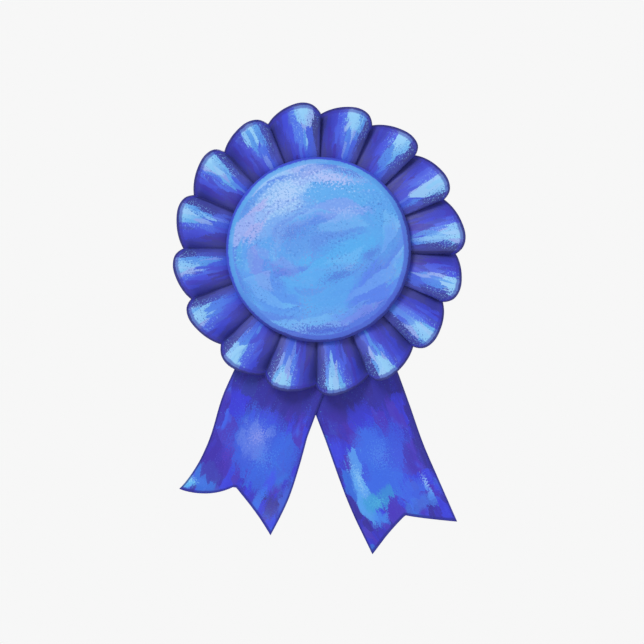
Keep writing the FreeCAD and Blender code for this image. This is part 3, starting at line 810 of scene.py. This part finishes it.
def fibre(name, code, dark):
    """Loose fibres or twisted thread."""
    s = Shader(name, Sheen_Weight=0.4)
    strands = s.noise(s.scaled(s.place(), (1500, 1500, 700)), detail=4.0, distortion=2.0)
    base = s.blend(s.span(strands, 0.3, 0.7), dark, code)
    return s.finish(base, s.span(strands, 0.3, 0.7, 0.9, 0.75), s.bump(strands, 0.5, 0.1 * MM))


# ---------------- pleated ring
def spline(points, t):
    """A point on the smooth curve through the points, at t in steps from one to the next."""
    index = math.floor(t)
    x = t - index
    p = [points(index + k) for k in (-1, 0, 1, 2)]
    weights = (
        (-x + 2 * x**2 - x**3) / 2,
        (2 - 5 * x**2 + 3 * x**3) / 2,
        (x + 4 * x**2 - 3 * x**3) / 2,
        (-(x**2) + x**3) / 2,
    )
    return [sum(w * q[k] for w, q in zip(weights, p)) for k in range(len(p[0]))]


def pleat_ring():
    """One long ribbon folded into knife pleats round the button, with a little difference in each."""
    rng = random.Random(SEED)
    count = len(PLEAT_SECTION)
    habits = [
        {
            "crest": rng.uniform(-0.04, 0.04),
            "height": rng.uniform(0.9, 1.08),
            "reach": rng.uniform(-0.4, 0.4) * MM,
            "fold": rng.uniform(-0.03, 0.03),
            "lean": rng.uniform(-0.07, 0.07),
        }
        for _ in range(PLEATS)
    ]

    def knot(index, out):
        """A control point of the section: place in pleats, height share and outer radius, at a share of
        the way out."""
        pleat, step = divmod(index, count)
        place, height, radius = PLEAT_SECTION[step]
        habit = habits[pleat % PLEATS]
        high = height**0.5
        tuck = INNER_TUCK * (1 - out) ** 1.4
        if step in (0, count - 1):
            place -= tuck
        if step == 1:
            place -= 0.35 * tuck
        place += habit["crest"] * high + habit["lean"] * (1 - out) * high
        if step >= count - 2:
            place += habit["fold"]
        return pleat + place, height * habit["height"], radius * MM + habit["reach"] * high

    columns = PLEATS * PLEAT_STATIONS
    verts, pleat_uv, ribbon_uv = [], [], []
    crest_depth = RING_DEPTH - RIBBON_T
    for row in range(PLEAT_ROWS + 1):
        out = row / PLEAT_ROWS
        for column in range(columns + 1):
            t = column / PLEAT_STATIONS * count
            place, height, outer_r = spline(lambda i: knot(i, out), t)
            radius = mix(RING_INNER_R, outer_r, out)
            # The folds stand up further out, and the free edge rolls back a little
            lift = mix(INNER_LIFT, 1.0, smooth(0.12, 1.0, out) * 0.55 + 0.45 * out**1.4)
            lift -= EDGE_ROLL * smooth(0.9, 1.0, out)
            ripple = noise.noise(Vector((place * 1.7 % (PLEATS * 1.7), out * 2.5, 3.0))) * RIPPLE * out
            y = RING_BACK_Y - RIBBON_T / 2 - max(0.0, height) * lift * crest_depth - abs(ripple)
            angle = FIRST_CREVICE + place * PITCH
            verts.append(at(radius, angle, y))
            # Where it is on the pleat's face as seen from the front, for the colours
            pleat = column // PLEAT_STATIONS
            hidden = t % count > FOLD_STEP or column == columns
            share = 1.0 if hidden else (place - pleat - FOLD_OVERHANG)
            share = min(0.999, max(0.001, share))
            pleat_uv.append((pleat + share, (radius - BUTTON_R) / (RING_R - BUTTON_R)))
            ribbon_uv.append((t / count / PLEATS * RING_RIBBON_LENGTH, out * RIBBON_WIDTH))
    faces = grid_faces(PLEAT_ROWS + 1, columns + 1)
    ring = mesh_object("satin_pleat_ring", verts, faces, {"Pleat": pleat_uv, "Ribbon": ribbon_uv})
    # Close the ring where the ribbon's two ends are joined
    weld = ring.modifiers.new("weld", "WELD")
    weld.merge_threshold = WELD_WITHIN
    apply_modifiers(ring)
    ring.data.materials.append(pleat_satin())
    ring.data.materials.append(satin_back("pleat_satin_back", "#4048c8", "#2b2a84"))
    thickened(ring, RIBBON_T, reverse=True)
    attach(ring, "rosette")
    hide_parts("pleat_ring")


# ---------------- button
def dome_height(radius, rim_r, crown, rim=RIM_HEIGHT, shoulder=SHOULDER):
    """Height of the dome above its rim's plane."""
    shoulder_r = rim_r - shoulder
    shoulder_top = rim + shoulder
    if radius <= shoulder_r:
        return shoulder_top + (crown - shoulder_top) * (1 - (radius / shoulder_r) ** 2)
    reach = min(1.0, (radius - shoulder_r) / shoulder)
    return rim + shoulder * math.sqrt(1 - reach**2)


def button_cover():
    """Satin stretched over the padded dome and tucked behind its rim, with faint pulls at the edge."""
    spokes = COVER_SPOKES
    rim_r = BUTTON_R - COVER_HALF_T
    crown = BUTTON_CROWN - COVER_HALF_T
    radii = [rim_r * CROWN_SHARE * i / CROWN_RINGS for i in range(1, CROWN_RINGS + 1)]
    turns = [math.sin(math.pi / 2 * i / SHOULDER_RINGS) for i in range(1, SHOULDER_RINGS + 1)]
    radii += [rim_r - SHOULDER + SHOULDER * turn for turn in turns]
    profile = [(r, dome_height(r, rim_r, crown)) for r in radii]
    # The rim's wall, its rounded lower edge, and the tuck behind it
    profile += [(rim_r, COVER_HALF_T + EDGE_ROUND), (rim_r - EDGE_ROUND, COVER_HALF_T)]
    profile += [(rim_r - COVER_TUCK * i / TUCK_RINGS, COVER_HALF_T) for i in range(1, TUCK_RINGS + 1)]
    verts = [CENTRE + Vector((0, BUTTON_BACK_Y - crown, 0))]
    for r, h in profile:
        for i in range(spokes):
            angle = 2 * math.pi * i / spokes
            pull = noise.noise(Vector((math.sin(angle) * 14, math.cos(angle) * 14, 0.4)))
            strength = smooth(0.82, 0.99, r / rim_r)
            verts.append(at(r, angle, BUTTON_BACK_Y - h - pull * strength * COVER_PULL))
    faces = [(0, 1 + (i + 1) % spokes, 1 + i) for i in range(spokes)]
    faces += ring_faces(1, len(profile), spokes)
    cover = mesh_object("satin_button_cover", verts, faces)
    thickened(cover, 2 * COVER_HALF_T)
    cover.data.materials.append(cover_satin())
    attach(cover, "rosette")
    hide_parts("button_cover")


# ---------------- tails
# Each tail's tips and notch in mm from the rosette's centre, the notch's place across from -1 to 1, how
# far the cut's two sides bulge in mm, and how far the edges stray outwards from a straight ribbon's, as
# (mm along, mm)
TAILS = {
    "left": {
        "outer_tip": 112.6,
        "inner_tip": 117.1,
        "notch": 103.5,
        "notch_across": -0.1,
        "outer_bulge": 2.6,
        "inner_bulge": -0.3,
        "outer_edge": [(58, 0.0), (71, 0.7), (87, -0.35), (97, 0.1), (104, 1.3), (110, 3.0), (114, 4.8)],
        "inner_edge": [(74, 0.0), (86, 1.1), (99, 1.7), (108, 1.1), (118, -0.2)],
        "seed": 2.0,
    },
    "right": {
        "outer_tip": 125.0,
        "inner_tip": 125.2,
        "notch": 115.0,
        "notch_across": 0.06,
        "outer_bulge": 0.3,
        "inner_bulge": -0.3,
        "outer_edge": [(60, 0.5), (74, 0.2), (90, -0.3), (106, 0.3), (125, 1.2)],
        "inner_edge": [(74, -0.5), (96, 0.0), (108, -0.3), (118, -1.1), (126, -1.8)],
        "seed": 11.0,
    },
}


def tail(side):
    """One satin ribbon from the staple behind the pleats down to its swallow-tail end."""
    spec = TAILS[side]
    joint = JOINTS[f"{side}_tail_swing"]
    hinge = Vector(joint["pos_m"])
    across_axis = Vector(joint["axis"])
    down = Vector((across_axis.z, 0, -across_axis.x))
    if down.z > 0:
        down.negate()
    hinge_at = (hinge - CENTRE).dot(down)
    outward = -1 if side == "left" else 1
    half = RIBBON_WIDTH / 2
    columns, rows = TAIL_COLUMNS, TAIL_ROWS
    verts, tail_uv, ribbon_uv = [], [], []
    for row in range(rows + 1):
        for column in range(columns + 1):
            across = 2 * column / columns - 1
            # Outline of the cut end
            notch = spec["notch_across"]
            if across * outward > notch * outward:
                tip, bulge, corner = spec["outer_tip"], spec["outer_bulge"], outward
            else:
                tip, bulge, corner = spec["inner_tip"], spec["inner_bulge"], -outward
            side_share = (across - notch) / (corner - notch)
            end = mix(spec["notch"], tip, side_share) + bulge * 4 * side_share * (1 - side_share)
            share = row / rows
            along = mix(TAIL_TOP, end, share)
            free = smooth(40, 110, along)
            stray = curve(spec["outer_edge"], along) * smooth(0.0, 1.0, across * outward)
            stray -= curve(spec["inner_edge"], along) * smooth(0.0, 1.0, -across * outward)
            # The ribbon sways, cups, creases a little and curls at its corners
            sway = SWAY * math.sin((along - 58) / 62 * math.pi * 1.25 + spec["seed"]) * free
            cup = CUP * across * math.sin(along / 30 + spec["seed"] * 2) * free
            curl = CURL * smooth(0.55, 1.0, abs(across)) * smooth(92, 120, along)
            crease = noise.noise(Vector((across * 1.6 + spec["seed"], along / 26, 0.7))) * CREASE * free
            place = hinge + across_axis * (across * half + outward * stray * MM)
            place += down * (along * MM - hinge_at)
            place.y = hinge.y - (sway + cup + crease + curl) * MM
            verts.append(place)
            tail_uv.append((across, share))
            ribbon_uv.append((across * half, along * MM))
    faces = [face[::-1] for face in grid_faces(rows + 1, columns + 1)]
    obj = mesh_object(f"satin_{side}_tail", verts, faces, {"Tail": tail_uv, "Ribbon": ribbon_uv})
    obj.data.materials.append(tail_satin(side, spec["seed"]))
    obj.data.materials.append(satin_back(f"{side}_tail_satin_back", "#4050d4", "#2c2d92"))
    thickened(obj, RIBBON_T, reverse=True)
    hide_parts(f"{side}_tail_top", f"{side}_tail")
    start, end = hinge - down * TAIL_BEND, hinge + down * TAIL_BEND
    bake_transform(obj)


# ---------------- wadding
def wadding():
    """Thin wadding under the cover, compressed at the rim."""
    spokes, rings = WADDING_SPOKES, WADDING_RINGS
    rim_r = (WADDING_HIGH[0] - WADDING_LOW[0]) / 2 - 0.3 * MM
    top = WADDING_HIGH[1] - WADDING_LOW[1] - 0.15 * MM
    verts = []
    for layer in (0, 1):
        rim = rim_r - layer * WADDING_T
        crown = top - layer * 1.05 * MM
        for j in range(rings):
            r = rim * (j + 1) / rings
            for i in range(spokes):
                angle = 2 * math.pi * i / spokes
                lump_r = r * LUMPS_PER_METRE
                lump = noise.noise(Vector((lump_r * math.sin(angle), lump_r * math.cos(angle), layer)))
                h = max(WADDING_RIM, dome_height(r, rim, crown, WADDING_RIM, WADDING_SHOULDER))
                h += lump * LUMP_HEIGHT
                verts.append(at(r, angle, BUTTON_BACK_Y - h))
    faces = []
    size = rings * spokes
    for layer in (0, 1):
        base = layer * size
        quads = ring_faces(base, rings, spokes)
        faces += quads if layer == 0 else [quad[::-1] for quad in quads]
        cap = [base + i for i in range(spokes)]
        faces.append(cap[::-1] if layer == 0 else cap)
    outer = (rings - 1) * spokes
    for i in range(spokes):
        k = (i + 1) % spokes
        faces.append((outer + i, outer + k, size + outer + k, size + outer + i))
    obj = mesh_object("button_wadding_disc", verts, faces)
    obj.data.materials.append(fibre("wadding_fibres", "#f0efe8", "#cfcdc4"))
    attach(obj, "rosette")
    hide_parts("button_wadding")


def dress_cad():
    """Materials of the nodes that stay as the CAD model has them."""
    steel = metal("nickel_plate", "#d6d6d4", 0.17, 0.24, (300, 2500, 2500))
    tin = metal("tinplate", "#b9bbc0", 0.3, 0.4, (1500, 1500, 200))
    wire = metal("galvanised_wire", "#a9abb0", 0.3, 0.42, (2000, 2000, 2000))
    white_card = card("white_card", "#efece4", "#e2ddd2")
    tape = foam("tape_foam", "#e9e9e4")
    materials = {
        "pin_bar": steel,
        "pin_rivet": steel,
        "pin_stem": steel,
        "pin_catch": steel,
        "button_shell": tin,
        "tail_staples": wire,
        "pleat_card": white_card,
        "backing_card": white_card,
        "button_back": moulded("white_plastic", "#dfe1e4"),
        "button_pad": foam("white_foam", "#e9e9e4"),
        "pin_tape": tape,
        "backing_tape": tape,
        "pleat_stitches": fibre("blue_thread", "#3434a0", "#1d1c60"),
    }
    for name, material in materials.items():
        slots = frame["nodes"][name].data.materials
        if len(slots):
            for index in range(len(slots)):
                slots[index] = material
        else:
            slots.append(material)


# ---------------- stage
def disc_mesh(radius, z, count):
    """Points and the one face of a level disc."""
    turns = [2 * math.pi * i / count for i in range(count)]
    verts = [(radius * math.cos(turn), radius * math.sin(turn), z) for turn in turns]
    return verts, [tuple(range(count))]


def area_light(name, place, target, size, power):
    """A soft round light aimed at the target."""
    light = bpy.data.lights.new(name, "AREA")
    light.shape = "DISK"
    light.size = size
    light.energy = power
    obj = bpy.data.objects.new(name, light)
    obj.location = place
    obj.rotation_euler = (Vector(target) - Vector(place)).to_track_quat("-Z", "Y").to_euler()
    bpy.context.scene.collection.objects.link(obj)


def stage():
    """Pale floor and background, soft lights and the camera."""
    world = bpy.data.worlds.new("pale_studio")
    world.use_nodes = True
    nodes, links = world.node_tree.nodes, world.node_tree.links
    background = nodes["Background"]
    seen = nodes.new("ShaderNodeLightPath").outputs["Is Camera Ray"]
    strength = nodes.new("ShaderNodeMapRange")
    links.new(seen, strength.inputs["Value"])
    strength.inputs["To Min"].default_value = AMBIENT
    strength.inputs["To Max"].default_value = BACKDROP
    links.new(strength.outputs[0], background.inputs["Strength"])
    background.inputs["Color"].default_value = (1, 1, 1, 1)
    bpy.context.scene.world = world
    bpy.context.scene.view_settings.view_transform = "Standard"

    floor = mesh_object("floor", *disc_mesh(FLOOR_R, FLOOR_Z, 64))
    s = Shader("pale_floor", Specular_IOR_Level=0.1, Emission_Strength=0.2, Emission_Color=(1, 1, 1, 1))
    grain = s.noise(s.place(), scale=30.0, detail=3.0)
    floor.data.materials.append(s.finish(s.blend(s.span(grain, 0.3, 0.7), "#f1f1ef", "#eeeeeb"), 0.9))

    focus = (CENTRE.x, RING_BACK_Y, CENTRE.z - 0.02)
    area_light("key", (-0.45, -1.0, 0.6), focus, size=0.45, power=6.5)
    area_light("fill", (0.9, -0.7, 0.1), focus, size=0.8, power=1.7)
    area_light("back", (0.3, 0.9, 0.6), focus, size=0.8, power=7.0)

    camera = bpy.data.cameras.new("camera")
    camera.lens = LENS
    camera.sensor_width = SENSOR_WIDTH
    distance = VIEW_WIDTH * LENS / SENSOR_WIDTH
    obj = bpy.data.objects.new("camera", camera)
    obj.location = (
        CENTRE.x + CAMERA_ASIDE,
        RING_BACK_Y - FOCUS_AHEAD - distance,
        CENTRE.z - CAMERA_BELOW,
    )
    obj.rotation_euler = (math.radians(90), 0, 0)
    bpy.context.scene.collection.objects.link(obj)
    bpy.context.scene.camera = obj


# ---------------- the whole scene
pleat_ring()
button_cover()
wadding()
for side in TAILS:
    tail(side)
dress_cad()
stage()
